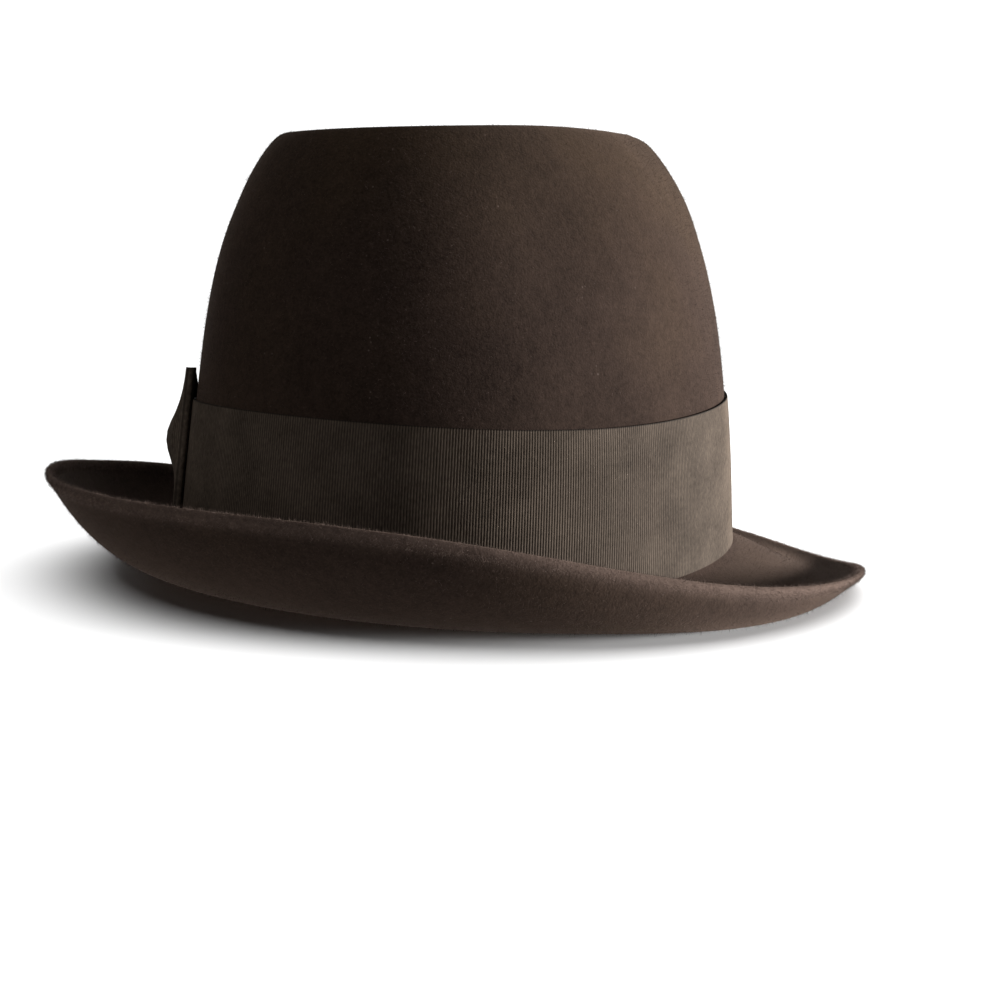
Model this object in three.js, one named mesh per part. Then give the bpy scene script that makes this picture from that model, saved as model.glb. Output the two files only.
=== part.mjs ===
// A men's fedora in fur felt with a wide grosgrain ribbon and a flat bow, as it rests on a table.
// Millimetres, +Z up. The front of the hat is towards -Y and the wearer's left towards +X.
// The origin is on the table, below the middle of the hat's outline.
import * as THREE from "three";

// Felt
const FELT = 2.0;
const BREAK_RADIUS = 3.2;
const EDGE_SWELL = 0.6;
const REST_PRESS = 0.7;

// The hat leans back by this many degrees as it rests on its brim.
const REST_LEAN = 1.2;

// Foot of the crown, outside: half sizes of the oval
const CROWN_HALF_LENGTH = 101.5;
const CROWN_HALF_WIDTH = 86.5;

// Crest of the crown above the brim break, from the front over the side to the back
const CREST_FRONT = 138;
const CREST_SIDE = 147.5;
const CREST_BACK = 141;

// Teardrop dent in the top, and the two soft pinches at the front
const DENT_DEPTH = 27;
const PINCH_DEPTH = 3.2;
const PINCH_ANGLE = 45;
const PINCH_SPREAD = 15;
const PINCH_FOOT = 0.5;
const PINCH_FULL = 0.92;

// Brim: reach beyond the crown's foot, from the front over the side to the back
const BRIM_REACH_FRONT = 50.7;
const BRIM_REACH_SIDE = 45.4;
const BRIM_REACH_BACK = 42.2;

// The front of the brim is snapped down most a little to the right of the middle, and the rim is
// worn down a little at the left rear.
const SNAP_DEPTH = 7.8;
const SNAP_ANGLE = -15;
const SNAP_SPREAD = 20;
const WORN_DEPTH = 2;
const WORN_ANGLE = 132;
const WORN_SPREAD = 15;

// Ribbon round the crown
const RIBBON_WIDTH = 51;
const RIBBON_THICKNESS = 0.9;
const RIBBON_LIFT = 3.9;
const GAP = 0.35;

// Bow at the left rear: a loop to the front, a loop to the back, and a knot over their ends
const BOW_ANGLE = 138;
const BOW_RIBBON = 0.9;
const FRONT_LOOP_LENGTH = 30;
const BACK_LOOP_LENGTH = 30;
const FRONT_LOOP_RISE = 6;
const BACK_LOOP_RISE = 9;
const LOOP_FULLNESS = 6;
const LOOP_FOLD = 0.8;
const KNOT_WIDTH = 15;
const KNOT_BEND = 1.8;
const KNOT_FULLNESS = 0.8;

// Faces round the hat, and rows across each surface
const AROUND = 60;
const BRIM_ROWS = 9;
const BREAK_ROWS = 2;
const CROWN_ROWS = 11;
const RIBBON_ROWS = 3;
const LOOP_STEPS = 8;
const LOOP_ROWS = 5;
const FOLD_STEPS = 4;
const KNOT_STEPS = 4;
const KNOT_ROWS = 4;

// The ovals are superellipses: the crown's is a little squarer than the rim's.
const CROWN_POWER = 2.08;
const RIM_POWER = 2;

// How long the brim holds its slope at either end, as a share of its reach
const BRIM_HOLD = 0.4;

// The brim in even steps from the front over the side to the back: the dip of its break and the
// rise of its rim, as shares of its reach at the side, and the slopes in degrees at which it
// leaves the crown, falling, and comes to the rim, rising.
const BRIM_TURNS = [
  { dip: 0.09, rise: -0.022, fall: 5, curl: 14 },
  { dip: 0.051, rise: -0.027, fall: 6, curl: 28 },
  { dip: -0.034, rise: 0.04, fall: 8, curl: 64 },
  { dip: -0.097, rise: 0.191, fall: 9.5, curl: 95 },
  { dip: -0.101, rise: 0.471, fall: 9.3, curl: 95 },
  { dip: -0.066, rise: 0.632, fall: 5, curl: 74 },
  { dip: -0.046, rise: 0.638, fall: 1.5, curl: 62 },
];

// The crown from its foot to its crest: level as a share of the height there, and the oval's
// half sizes as shares of those at the foot.
const CROWN_SECTIONS = [
  { level: 0.0, front: 1.0, side: 1.0, back: 1.0 },
  { level: 0.2, front: 0.977, side: 0.987, back: 0.974 },
  { level: 0.38, front: 0.953, side: 0.953, back: 0.947 },
  { level: 0.56, front: 0.928, side: 0.897, back: 0.924 },
  { level: 0.72, front: 0.888, side: 0.824, back: 0.885 },
  { level: 0.85, front: 0.82, side: 0.725, back: 0.827 },
  { level: 0.94, front: 0.744, side: 0.635, back: 0.763 },
  { level: 1.0, front: 0.653, side: 0.539, back: 0.69 },
];

// The dent from the crest to its floor: depth as a share of the dent's, and half sizes as shares
// of the crest's.
const DENT_SECTIONS = [
  { depth: 0.03, front: 0.9, side: 0.88, back: 0.91 },
  { depth: 0.2, front: 0.78, side: 0.74, back: 0.82 },
  { depth: 0.55, front: 0.63, side: 0.56, back: 0.7 },
  { depth: 0.85, front: 0.44, side: 0.36, back: 0.52 },
  { depth: 0.98, front: 0.22, side: 0.17, back: 0.28 },
];

// A loop of the bow from under the knot to its fold: share of the length, fullness as a share of
// the greatest, its lower and upper edge as shares of the ribbon's width, and how much of the
// loop's rise both have taken.
const LOOP_SECTIONS = [
  { along: 0.0, full: 0.0, low: 0.1, high: 0.9, risen: 0.0 },
  { along: 0.2, full: 0.05, low: 0.09, high: 0.91, risen: 0.12 },
  { along: 0.45, full: 0.75, low: 0.04, high: 0.96, risen: 0.4 },
  { along: 0.7, full: 1.0, low: 0.0, high: 1.0, risen: 0.7 },
  { along: 0.9, full: 0.55, low: -0.02, high: 1.0, risen: 0.92 },
  { along: 1.0, full: 0.0, low: -0.03, high: 1.0, risen: 1.0 },
];

// A loop is fullest at this share of its height, and flattens over this share above and below.
const LOOP_BELLY = 0.42;
const LOOP_SPREAD = 0.24;

// The crown's rows lie closer together towards the crest, by this power.
const CROWN_CROWDING = 0.9;

// How far the knot's face holds its first direction at either end, as a share of its height
const KNOT_HOLD = 0.3;

const radians = THREE.MathUtils.degToRad;
const lerp = THREE.MathUtils.lerp;
const smoothstep = THREE.MathUtils.smoothstep;

const FELT_COLOUR = 0x2e211c;
const RIBBON_COLOUR = 0x453c30;

function felt() {
  return new THREE.MeshStandardMaterial({ color: FELT_COLOUR, roughness: 0.95, metalness: 0 });
}

function grosgrain() {
  return new THREE.MeshStandardMaterial({ color: RIBBON_COLOUR, roughness: 0.75, metalness: 0 });
}

// The smooth curve of direction through values evenly spaced from the front (0) to the back (pi),
// the same on both sides of the hat: a cosine series.
function roundTheHat(values) {
  const last = values.length - 1;
  const weights = values.map((_, order) => {
    const sum = values.reduce((total, value, k) => {
      const end = k === 0 || k === last ? 0.5 : 1;
      return total + end * value * Math.cos((Math.PI * order * k) / last);
    }, 0);
    return (sum * (order === 0 || order === last ? 1 : 2)) / last;
  });
  return (angle) => weights.reduce((total, weight, order) => total + weight * Math.cos(order * angle), 0);
}

// Distance from the middle to an oval whose front and back halves may differ in length.
function ovalRadius(angle, power, [front, side, back]) {
  const along = (front + back) / 2 + ((front - back) / 2) * Math.cos(angle);
  const x = Math.abs(Math.sin(angle) / side) ** power;
  const y = Math.abs(Math.cos(angle) / along) ** power;
  return (x + y) ** (-1 / power);
}

// A smooth curve through the rows of a table, read by its first column.
function tableCurve(rows) {
  const [key, ...columns] = Object.keys(rows[0]);
  const curve = new THREE.CubicInterpolant(
    rows.map((row) => row[key]),
    rows.flatMap((row) => columns.map((column) => row[column])),
    columns.length,
  );
  return (at) => Array.from(curve.evaluate(at));
}

// A point at a direction round the hat, from its distance to the middle and its height, leaned
// back as the hat rests.
function inSpace(angle, { x: distance, y: height }) {
  const point = new THREE.Vector3(distance * Math.sin(angle), -distance * Math.cos(angle), height);
  return point.applyAxisAngle(new THREE.Vector3(1, 0, 0), -radians(REST_LEAN));
}

// A hollow in a value round the hat: one at its middle direction, fading to nothing either side.
function hollowAt(angle, middle, spread) {
  const turn = THREE.MathUtils.euclideanModulo(angle - radians(middle) + Math.PI, 2 * Math.PI) - Math.PI;
  return Math.exp(-((turn / radians(spread)) ** 2));
}

const crestHeight = roundTheHat([CREST_FRONT, CREST_SIDE, CREST_BACK]);
const breakHeight = roundTheHat(BRIM_TURNS.map((turn) => turn.dip * BRIM_REACH_SIDE));
const evenRimHeight = roundTheHat(BRIM_TURNS.map((turn) => turn.rise * BRIM_REACH_SIDE));
const brimFall = roundTheHat(BRIM_TURNS.map((turn) => radians(turn.fall)));
const brimCurl = roundTheHat(BRIM_TURNS.map((turn) => radians(turn.curl)));
const crownShares = tableCurve(CROWN_SECTIONS);
const loopShares = tableCurve(LOOP_SECTIONS);

// How far the front pinches press the crown in, at a direction and a level.
function pinch(angle, level) {
  const left = hollowAt(angle, PINCH_ANGLE, PINCH_SPREAD);
  const right = hollowAt(angle, -PINCH_ANGLE, PINCH_SPREAD);
  return PINCH_DEPTH * (left + right) * smoothstep(level, PINCH_FOOT, PINCH_FULL);
}

// Height of the rim, snapped down at the front and worn down at the left rear.
function rimHeight(angle) {
  const snapped = SNAP_DEPTH * hollowAt(angle, SNAP_ANGLE, SNAP_SPREAD);
  const worn = WORN_DEPTH * hollowAt(angle, WORN_ANGLE, WORN_SPREAD);
  return evenRimHeight(angle) - snapped - worn;
}

// A point of the crown's outside at a direction and a level.
function crownPoint(angle, level) {
  const [front, side, back] = crownShares(level);
  const oval = [front * CROWN_HALF_LENGTH, side * CROWN_HALF_WIDTH, back * CROWN_HALF_LENGTH];
  const distance = ovalRadius(angle, CROWN_POWER, oval) - pinch(angle, level);
  return new THREE.Vector2(distance, breakHeight(angle) + level * crestHeight(angle));
}

// The brim's upper side from the rim to the break.
function brimCurve(angle) {
  const foot = crownPoint(angle, 0);
  const fall = brimFall(angle);
  const curl = brimCurl(angle);
  const rimOval = [
    CROWN_HALF_LENGTH + BRIM_REACH_FRONT,
    CROWN_HALF_WIDTH + BRIM_REACH_SIDE,
    CROWN_HALF_LENGTH + BRIM_REACH_BACK,
  ];
  const rim = new THREE.Vector2(ovalRadius(angle, RIM_POWER, rimOval), rimHeight(angle));
  const start = new THREE.Vector2(BREAK_RADIUS, 0).rotateAround(new THREE.Vector2(), -fall).add(foot);
  const hold = BRIM_HOLD * (rim.x - foot.x);
  const atRim = new THREE.Vector2(-hold, 0).rotateAround(new THREE.Vector2(), curl).add(rim);
  const atStart = new THREE.Vector2(hold, 0).rotateAround(new THREE.Vector2(), -fall).add(start);
  return new THREE.CubicBezierCurve(rim, atRim, atStart, start);
}

// The profile inside the crest: the dent's rings down to its floor.
function dentPoints(angle) {
  const crest = crownPoint(angle, 1);
  const floor = breakHeight(Math.PI / 2) + CREST_SIDE - DENT_DEPTH;
  return DENT_SECTIONS.map(({ depth, front, side, back }) => {
    const share = roundTheHat([front, side, back])(angle);
    return new THREE.Vector2(crest.x * share, lerp(crest.y, floor, depth));
  });
}

// The felt's upper and outer side in one direction, from the rim over the crest into the dent.
function feltProfile(angle) {
  const brim = brimCurve(angle);
  const firstLevel = BREAK_RADIUS / crestHeight(angle);
  const wallFoot = crownPoint(angle, firstLevel);
  const fillet = new THREE.QuadraticBezierCurve(brim.v3, crownPoint(angle, 0), wallFoot);
  const wall = Array.from({ length: CROWN_ROWS }, (_, row) => {
    const share = Math.sin((Math.PI / 2) * ((row + 1) / CROWN_ROWS)) ** CROWN_CROWDING;
    return crownPoint(angle, lerp(firstLevel, 1, share));
  });
  return [
    ...brim.getPoints(BRIM_ROWS),
    ...fillet.getPoints(BREAK_ROWS).slice(1),
    ...wall,
    ...dentPoints(angle),
  ];
}

// A closed skin over sections of equally many points. The sections close into a ring, or else the
// first and the last are capped from their middles.
function loft(sections, ring) {
  const size = sections[0].length;
  const points = sections.flat();
  const faces = [];
  const bands = ring ? sections.length : sections.length - 1;
  for (let band = 0; band < bands; band += 1) {
    const here = band * size;
    const next = ((band + 1) % sections.length) * size;
    for (let i = 0; i < size; i += 1) {
      const j = (i + 1) % size;
      faces.push(here + i, here + j, next + j, here + i, next + j, next + i);
    }
  }
  const cap = (first, flip) => {
    const middle = new THREE.Vector3();
    for (let i = 0; i < size; i += 1) middle.addScaledVector(points[first + i], 1 / size);
    const centre = points.push(middle) - 1;
    for (let i = 0; i < size; i += 1) {
      const edge = [first + i, first + ((i + 1) % size)];
      faces.push(centre, ...(flip ? edge.reverse() : edge));
    }
  };
  if (!ring) {
    cap(0, true);
    cap((sections.length - 1) * size, false);
  }
  const geometry = new THREE.BufferGeometry().setFromPoints(points);
  geometry.setIndex(faces);
  geometry.computeVertexNormals();
  return geometry;
}

// Directions round the hat, in even steps from the front.
function directions() {
  return Array.from({ length: AROUND }, (_, step) => (step / AROUND) * 2 * Math.PI);
}

// Rings of the felt's upper side, each from the front round over the left, from the rim inwards.
function feltRings() {
  const profiles = directions().map((angle) => feltProfile(angle).map((point) => inSpace(angle, point)));
  return profiles[0].map((_, row) => profiles.map((profile) => profile[row]));
}

// The ring below a felt ring, one felt's thickness in along the surface's normal.
function lowerRing(rings, row) {
  const outer = rings[Math.max(row - 1, 0)];
  const inner = rings[Math.min(row + 1, rings.length - 1)];
  return rings[row].map((point, i, ring) => {
    const before = ring[(i + AROUND - 1) % AROUND];
    const after = ring[(i + 1) % AROUND];
    const round = new THREE.Vector3().subVectors(after, before);
    const inward = new THREE.Vector3().subVectors(inner[i], outer[i]);
    const normal = round.cross(inward).normalize();
    return point.clone().addScaledVector(normal, -FELT);
  });
}

// The middle of the rim's raw edge, swelling a little beyond both sides of the felt.
function edgeRing(upper, lower, inner) {
  return upper.map((point, i) => {
    const outward = new THREE.Vector3().subVectors(point, inner[i]).setLength(EDGE_SWELL);
    return point.clone().add(lower[i]).multiplyScalar(0.5).add(outward);
  });
}

// Crown and brim in one piece of felt, and the level of the table that it is pressed flat on.
function makeFelt() {
  const upper = feltRings();
  const lower = upper.map((_, row) => lowerRing(upper, row));
  const edge = edgeRing(upper[0], lower[0], upper[1]);
  const lowest = Math.min(...lower.flat().map((point) => point.z));
  const table = lowest + REST_PRESS;
  const flatten = (level) => (point) => {
    point.z = Math.max(point.z, level);
  };
  lower.flat().forEach(flatten(table));
  edge.forEach(flatten(table + FELT / 2));
  upper.flat().forEach(flatten(table + FELT));
  const geometry = loft([...lower.reverse(), edge, ...upper], false);
  return { geometry, table };
}

// A point outside the crown at a direction, above the brim break, and out from the felt.
function overFelt(angle, above, out) {
  const point = crownPoint(angle, above / crestHeight(angle));
  point.x += out;
  return inSpace(angle, point);
}

// Ribbon of one thickness laid along a grid of points of its middle surface: rows of the grid run
// along the ribbon, and each row goes across it.
function ribbonOver(grid, thickness, ring) {
  const count = grid.length;
  const normalAt = (step, i) => {
    const before = ring ? (step + count - 1) % count : Math.max(step - 1, 0);
    const after = ring ? (step + 1) % count : Math.min(step + 1, count - 1);
    const along = new THREE.Vector3().subVectors(grid[after][i], grid[before][i]);
    const row = grid[step];
    const above = row[Math.min(i + 1, row.length - 1)];
    const across = new THREE.Vector3().subVectors(above, row[Math.max(i - 1, 0)]);
    return along.cross(across).setLength(thickness / 2);
  };
  const sections = grid.map((row, step) => {
    const one = row.map((point, i) => point.clone().sub(normalAt(step, i)));
    const other = row.map((point, i) => point.clone().add(normalAt(step, i)));
    return [...one, ...other.reverse()];
  });
  return loft(sections, ring);
}

// Evenly spaced shares from 0 to 1.
function shares(steps) {
  return Array.from({ length: steps + 1 }, (_, step) => step / steps);
}

// The ribbon round the crown's foot, as a flat closed band.
function makeRibbon() {
  const out = GAP + RIBBON_THICKNESS / 2;
  const grid = directions().map((angle) =>
    shares(RIBBON_ROWS).map((share) => overFelt(angle, RIBBON_LIFT + share * RIBBON_WIDTH, out)),
  );
  return ribbonOver(grid, RIBBON_THICKNESS, true);
}

// Where the bow lies: a point along the ribbon from the bow's middle, above the brim break, and
// out from the face of the ribbon.
function overRibbon(along, above, out) {
  const middle = radians(BOW_ANGLE);
  const reach = crownPoint(middle, RIBBON_LIFT / crestHeight(middle)).x;
  return overFelt(middle + along / reach, above, GAP + RIBBON_THICKNESS + GAP + out);
}

// The lower and upper edge of a loop above the brim break, at a share of its length.
function loopEdges(share, rise) {
  const [, low, high, risen] = loopShares(share);
  const foot = RIBBON_LIFT + risen * rise;
  return [foot + low * RIBBON_WIDTH, foot + high * RIBBON_WIDTH];
}

// How far a loop's upper layer lies out from its lower one, at shares of its length and height.
function loopOpening(share, height) {
  const [full] = loopShares(share);
  const belly = Math.exp(-(((height - LOOP_BELLY) / LOOP_SPREAD) ** 2));
  return lerp(BOW_RIBBON + GAP, 2 * LOOP_FOLD, share) + LOOP_FULLNESS * full * belly;
}

// A loop of the bow: out from under the knot against the ribbon, round its fold, and back over
// itself with a belly. The side is 1 towards the back of the hat and -1 towards the front.
function makeLoop(side, length, rise) {
  const end = KNOT_WIDTH / 2 + length - LOOP_FOLD - BOW_RIBBON / 2;
  const row = (share, beyond, opening) =>
    shares(LOOP_ROWS).map((height) => {
      const along = lerp(GAP, end, share) + beyond;
      const above = lerp(...loopEdges(share, rise), height);
      return overRibbon(side * along, above, BOW_RIBBON / 2 + opening(height));
    });
  const under = shares(LOOP_STEPS).map((share) => row(share, 0, () => 0));
  const fold = shares(FOLD_STEPS).slice(1, -1).map((share) => {
    const turn = Math.PI * (share - 0.5);
    return row(1, LOOP_FOLD * Math.cos(turn), () => LOOP_FOLD * (1 + Math.sin(turn)));
  });
  const over = shares(LOOP_STEPS)
    .reverse()
    .map((share) => row(share, 0, (height) => loopOpening(share, height)));
  const grid = [...under, ...fold, ...over];
  return ribbonOver(side > 0 ? grid : grid.reverse(), BOW_RIBBON, false);
}

// The knot: ribbon wrapped over the loops' ends, and tucked in below and above them.
function makeKnot() {
  const shortest = Math.min(FRONT_LOOP_LENGTH, BACK_LOOP_LENGTH);
  const covered = Math.ceil((LOOP_STEPS * KNOT_WIDTH) / (KNOT_WIDTH + 2 * shortest)) / LOOP_STEPS;
  const edges = [0, covered].flatMap((share) => [
    ...loopEdges(share, FRONT_LOOP_RISE),
    ...loopEdges(share, BACK_LOOP_RISE),
  ]);
  const clear = GAP + BOW_RIBBON / 2;
  const bottom = Math.min(...edges) - clear;
  const top = Math.max(...edges) + clear;
  const front = BOW_RIBBON + loopOpening(covered, LOOP_BELLY) + clear;
  const full = front + KNOT_FULLNESS;
  const low = lerp(bottom, top, KNOT_HOLD);
  const high = lerp(top, bottom, KNOT_HOLD);
  const path = new THREE.Path()
    .moveTo(0, bottom)
    .lineTo(front - KNOT_BEND, bottom)
    .quadraticCurveTo(front, bottom, front, bottom + KNOT_BEND)
    .bezierCurveTo(full, low, full, high, front, top - KNOT_BEND)
    .quadraticCurveTo(front, top, front - KNOT_BEND, top)
    .lineTo(0, top);
  const grid = path.getPoints(KNOT_STEPS).map(({ x: out, y: above }) =>
    shares(KNOT_ROWS).map((share) => overRibbon((share - 0.5) * KNOT_WIDTH, above, out)),
  );
  return ribbonOver(grid, BOW_RIBBON, false);
}

function addPiece(parent, name, shape, material) {
  const piece = new THREE.Mesh(shape, material);
  piece.name = name;
  parent.add(piece);
}

const group = new THREE.Group();
const hat = new THREE.Group();
const { geometry: feltShape, table } = makeFelt();
addPiece(hat, "felt_body", feltShape, felt());
addPiece(hat, "ribbon_band", makeRibbon(), grosgrain());
addPiece(hat, "bow_front_loop", makeLoop(-1, FRONT_LOOP_LENGTH, FRONT_LOOP_RISE), grosgrain());
addPiece(hat, "bow_back_loop", makeLoop(1, BACK_LOOP_LENGTH, BACK_LOOP_RISE), grosgrain());
addPiece(hat, "bow_knot", makeKnot(), grosgrain());
const outline = new THREE.Box3().setFromObject(hat).getCenter(new THREE.Vector3());
hat.position.set(-outline.x, -outline.y, -table);
group.add(hat);

export default group;
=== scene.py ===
"""A man's fedora in brushed fur felt with a grosgrain ribbon and a flat bow, resting on a table.

The felt's main form comes from the frame. Here it gets its soft surface, hand-shaped hollows and
nap, and the ribbon and the bow are woven, folded and laid on it, rib by rib.
Metres, +Z up, the front of the hat towards -Y and the wearer's left towards +X.
"""

import logging
import math
from collections.abc import Callable, Sequence
from dataclasses import dataclass, field
from enum import Enum

import bpy
import numpy as np
from mathutils import Matrix, Vector
from mathutils.bvhtree import BVHTree
from mathutils.kdtree import KDTree


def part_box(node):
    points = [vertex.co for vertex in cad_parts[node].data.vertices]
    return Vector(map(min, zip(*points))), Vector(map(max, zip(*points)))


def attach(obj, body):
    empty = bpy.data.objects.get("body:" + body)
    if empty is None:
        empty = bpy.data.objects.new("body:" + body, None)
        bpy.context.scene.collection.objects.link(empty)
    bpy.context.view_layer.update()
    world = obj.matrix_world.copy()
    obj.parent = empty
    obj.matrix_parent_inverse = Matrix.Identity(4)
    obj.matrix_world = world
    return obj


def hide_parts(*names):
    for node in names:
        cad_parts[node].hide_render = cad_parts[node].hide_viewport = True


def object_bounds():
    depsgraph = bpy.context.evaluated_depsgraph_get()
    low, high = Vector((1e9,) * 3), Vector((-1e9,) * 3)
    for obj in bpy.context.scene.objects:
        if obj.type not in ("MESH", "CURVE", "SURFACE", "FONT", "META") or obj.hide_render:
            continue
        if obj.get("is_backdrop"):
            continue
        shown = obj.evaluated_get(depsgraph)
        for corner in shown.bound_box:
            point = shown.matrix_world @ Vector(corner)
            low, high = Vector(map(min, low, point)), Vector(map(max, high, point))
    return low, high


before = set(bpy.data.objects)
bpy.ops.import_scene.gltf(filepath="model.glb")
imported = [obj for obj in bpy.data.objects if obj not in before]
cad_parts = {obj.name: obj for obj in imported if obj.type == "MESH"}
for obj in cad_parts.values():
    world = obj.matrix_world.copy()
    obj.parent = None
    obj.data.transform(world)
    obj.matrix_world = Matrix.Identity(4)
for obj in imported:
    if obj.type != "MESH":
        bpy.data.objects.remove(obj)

CAD_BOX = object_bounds()
LOG = logging.getLogger("fedora")
ROOT = "root"
MM = 0.001
RIM = "rim"
BAND = "ribbon_round_crown"
RIB_PITCH = 0.885 * MM
RIBBON_WIDTH = 51 * MM
RIBBON_SHADING = 60.0


class Way(Enum):
    """Which way a loop of the bow runs from the knot, seen from outside."""

    FORWARD = -1
    BACKWARD = 1


# Modelling by hand: selection, edit mode and modifiers


def new_object(name: str, data: bpy.types.ID) -> bpy.types.Object:
    """Add an object to the scene.

    Args:
        name: The object's name.
        data: Its mesh, light or camera.

    Returns:
        The new object.
    """
    made = bpy.data.objects.new(name, data)
    bpy.context.scene.collection.objects.link(made)
    return made


def deselect_all() -> None:
    """Leave edit mode and deselect every object."""
    if bpy.context.object and bpy.context.object.mode != "OBJECT":
        bpy.ops.object.mode_set(mode="OBJECT")
    bpy.ops.object.select_all(action="DESELECT")


def pick(piece: bpy.types.Object) -> None:
    """Make one object the only selected and the active one.

    Args:
        piece: The object to work on.
    """
    deselect_all()
    piece.select_set(True)
    bpy.context.view_layer.objects.active = piece


def edit_all(piece: bpy.types.Object) -> None:
    """Open a piece in edit mode with everything selected.

    Args:
        piece: The object to open.
    """
    pick(piece)
    bpy.ops.object.mode_set(mode="EDIT")
    bpy.ops.mesh.select_all(action="SELECT")


def apply_modifier(piece: bpy.types.Object, kind: str, **settings: object) -> None:
    """Add a modifier to a piece, set it and apply it.

    Args:
        piece: The object that is modified.
        kind: Blender's name of the modifier's type.
        **settings: The modifier's own values.
    """
    pick(piece)
    modifier = piece.modifiers.new(kind.title(), kind)
    for name, value in settings.items():
        setattr(modifier, name, value)
    bpy.ops.object.modifier_apply(modifier=modifier.name)


def points_of(piece: bpy.types.Object) -> np.ndarray:
    """Read a piece's vertices.

    Args:
        piece: A mesh object at the origin.

    Returns:
        One row of x, y, z for each vertex, in metres.
    """
    flat = np.empty(len(piece.data.vertices) * 3)
    piece.data.vertices.foreach_get("co", flat)
    return flat.reshape(-1, 3)


def set_points(piece: bpy.types.Object, points: np.ndarray) -> None:
    """Move a piece's vertices to one row of x, y, z each, in metres."""
    piece.data.vertices.foreach_set("co", points.astype(np.float32).ravel())
    piece.data.update()


def smooth(piece: bpy.types.Object, angle: float) -> None:
    """Shade a piece smoothly across edges up to an angle in degrees."""
    pick(piece)
    bpy.ops.object.shade_smooth_by_angle(angle=math.radians(angle))


def hand_over(piece: bpy.types.Object, finish: bpy.types.Material, slot: str, *nodes: str) -> None:
    """Dress a finished piece, fasten it to the hat and hide the solids that it stands for.

    Args:
        piece: The finished object.
        finish: Its material.
        slot: A material slot's name; not used.
        *nodes: The solids that it stands for.
    """
    piece.data.materials.append(finish)
    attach(piece, ROOT)
    if nodes:
        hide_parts(*nodes)
    LOG.info("%s: %d faces", piece.name, len(piece.data.polygons))


# Finishes


@dataclass(frozen=True)
class Noise:
    """A noise pattern: its features a metre, its detail and its weight beside others."""

    scale: float
    detail: float
    weight: float = 1.0
    roughness: float = 0.6


@dataclass(frozen=True)
class Stretch:
    """A part of a value's range, and the range that it is stretched to."""

    low: float
    high: float
    start: float = 0.0
    end: float = 1.0


class Shader:
    """A material's node tree, wired one named node at a time."""

    def __init__(self, name: str) -> None:
        """Start a material that holds only its shader and output.

        Args:
            name: The material's name.
        """
        self.material = bpy.data.materials.new(name)
        self.material.use_nodes = True
        self.tree = self.material.node_tree

    def add(
        self,
        kind: str,
        inputs: dict[str | int, object] | None = None,
        **settings: object,
    ) -> bpy.types.Node:
        """Add a node.

        Args:
            kind: Blender's name of the node's type.
            inputs: Values or output sockets for the node's inputs, by name or number.
            **settings: The node's own properties.

        Returns:
            The new node.
        """
        node = self.tree.nodes.new(kind)
        for name, value in settings.items():
            setattr(node, name, value)
        self.feed(node, inputs or {})
        return node

    def feed(self, node: bpy.types.Node, inputs: dict[str | int, object]) -> None:
        """Set a node's inputs, or link output sockets to them.

        Args:
            node: The node to feed.
            inputs: Values or output sockets, by the input's name or number.
        """
        for name, value in inputs.items():
            if isinstance(value, bpy.types.NodeSocket):
                self.tree.links.new(value, node.inputs[name])
            else:
                node.inputs[name].default_value = value

    def coat(self, inputs: dict[str, object]) -> bpy.types.Material:
        """Feed the surface's inputs, by name, and return the finished material."""
        self.feed(self.tree.nodes["Principled BSDF"], inputs)
        return self.material

    def place(self) -> bpy.types.NodeSocket:
        """Return where on the piece a point lies, in metres."""
        return self.add("ShaderNodeTexCoord").outputs["Object"]

    def noise(self, place: bpy.types.NodeSocket, noise: Noise) -> bpy.types.NodeSocket:
        """Add a noise pattern over a place and return its value."""
        inputs = {"Scale": noise.scale, "Detail": noise.detail, "Roughness": noise.roughness}
        return self.add("ShaderNodeTexNoise", {"Vector": place, **inputs}).outputs["Fac"]

    def blend(self, share: object, low: object, high: object) -> bpy.types.NodeSocket:
        """Mix two colours by a share and return the mixed colour."""
        inputs = {"Factor": share, 6: low, 7: high}
        return self.add("ShaderNodeMix", inputs, data_type="RGBA").outputs[2]

    def remap(self, value: bpy.types.NodeSocket, to: Stretch) -> bpy.types.NodeSocket:
        """Stretch a part of a value's range over another range, and clamp it."""
        inputs = {"From Min": to.low, "From Max": to.high, "To Min": to.start, "To Max": to.end}
        return self.add("ShaderNodeMapRange", {"Value": value, **inputs}).outputs["Result"]

    def operate(self, operation: str, *values: object) -> bpy.types.NodeSocket:
        """Do one operation on up to three values and return its result."""
        return self.add("ShaderNodeMath", dict(enumerate(values)), operation=operation).outputs[0]

    def total(self, *terms: tuple[bpy.types.NodeSocket, float]) -> bpy.types.NodeSocket:
        """Add up values, each times its own weight.

        Args:
            *terms: Each value with its weight.

        Returns:
            The sum.
        """
        running: object = 0.0
        for value, weight in terms:
            running = self.operate("MULTIPLY_ADD", value, weight, running)
        return running

    def bump(self, height: bpy.types.NodeSocket, depth: float) -> bpy.types.NodeSocket:
        """Turn a height into surface relief of so many metres."""
        inputs = {"Height": height, "Distance": depth, "Strength": 1.0}
        return self.add("ShaderNodeBump", inputs).outputs["Normal"]


Colour = tuple[float, float, float, float]


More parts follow.
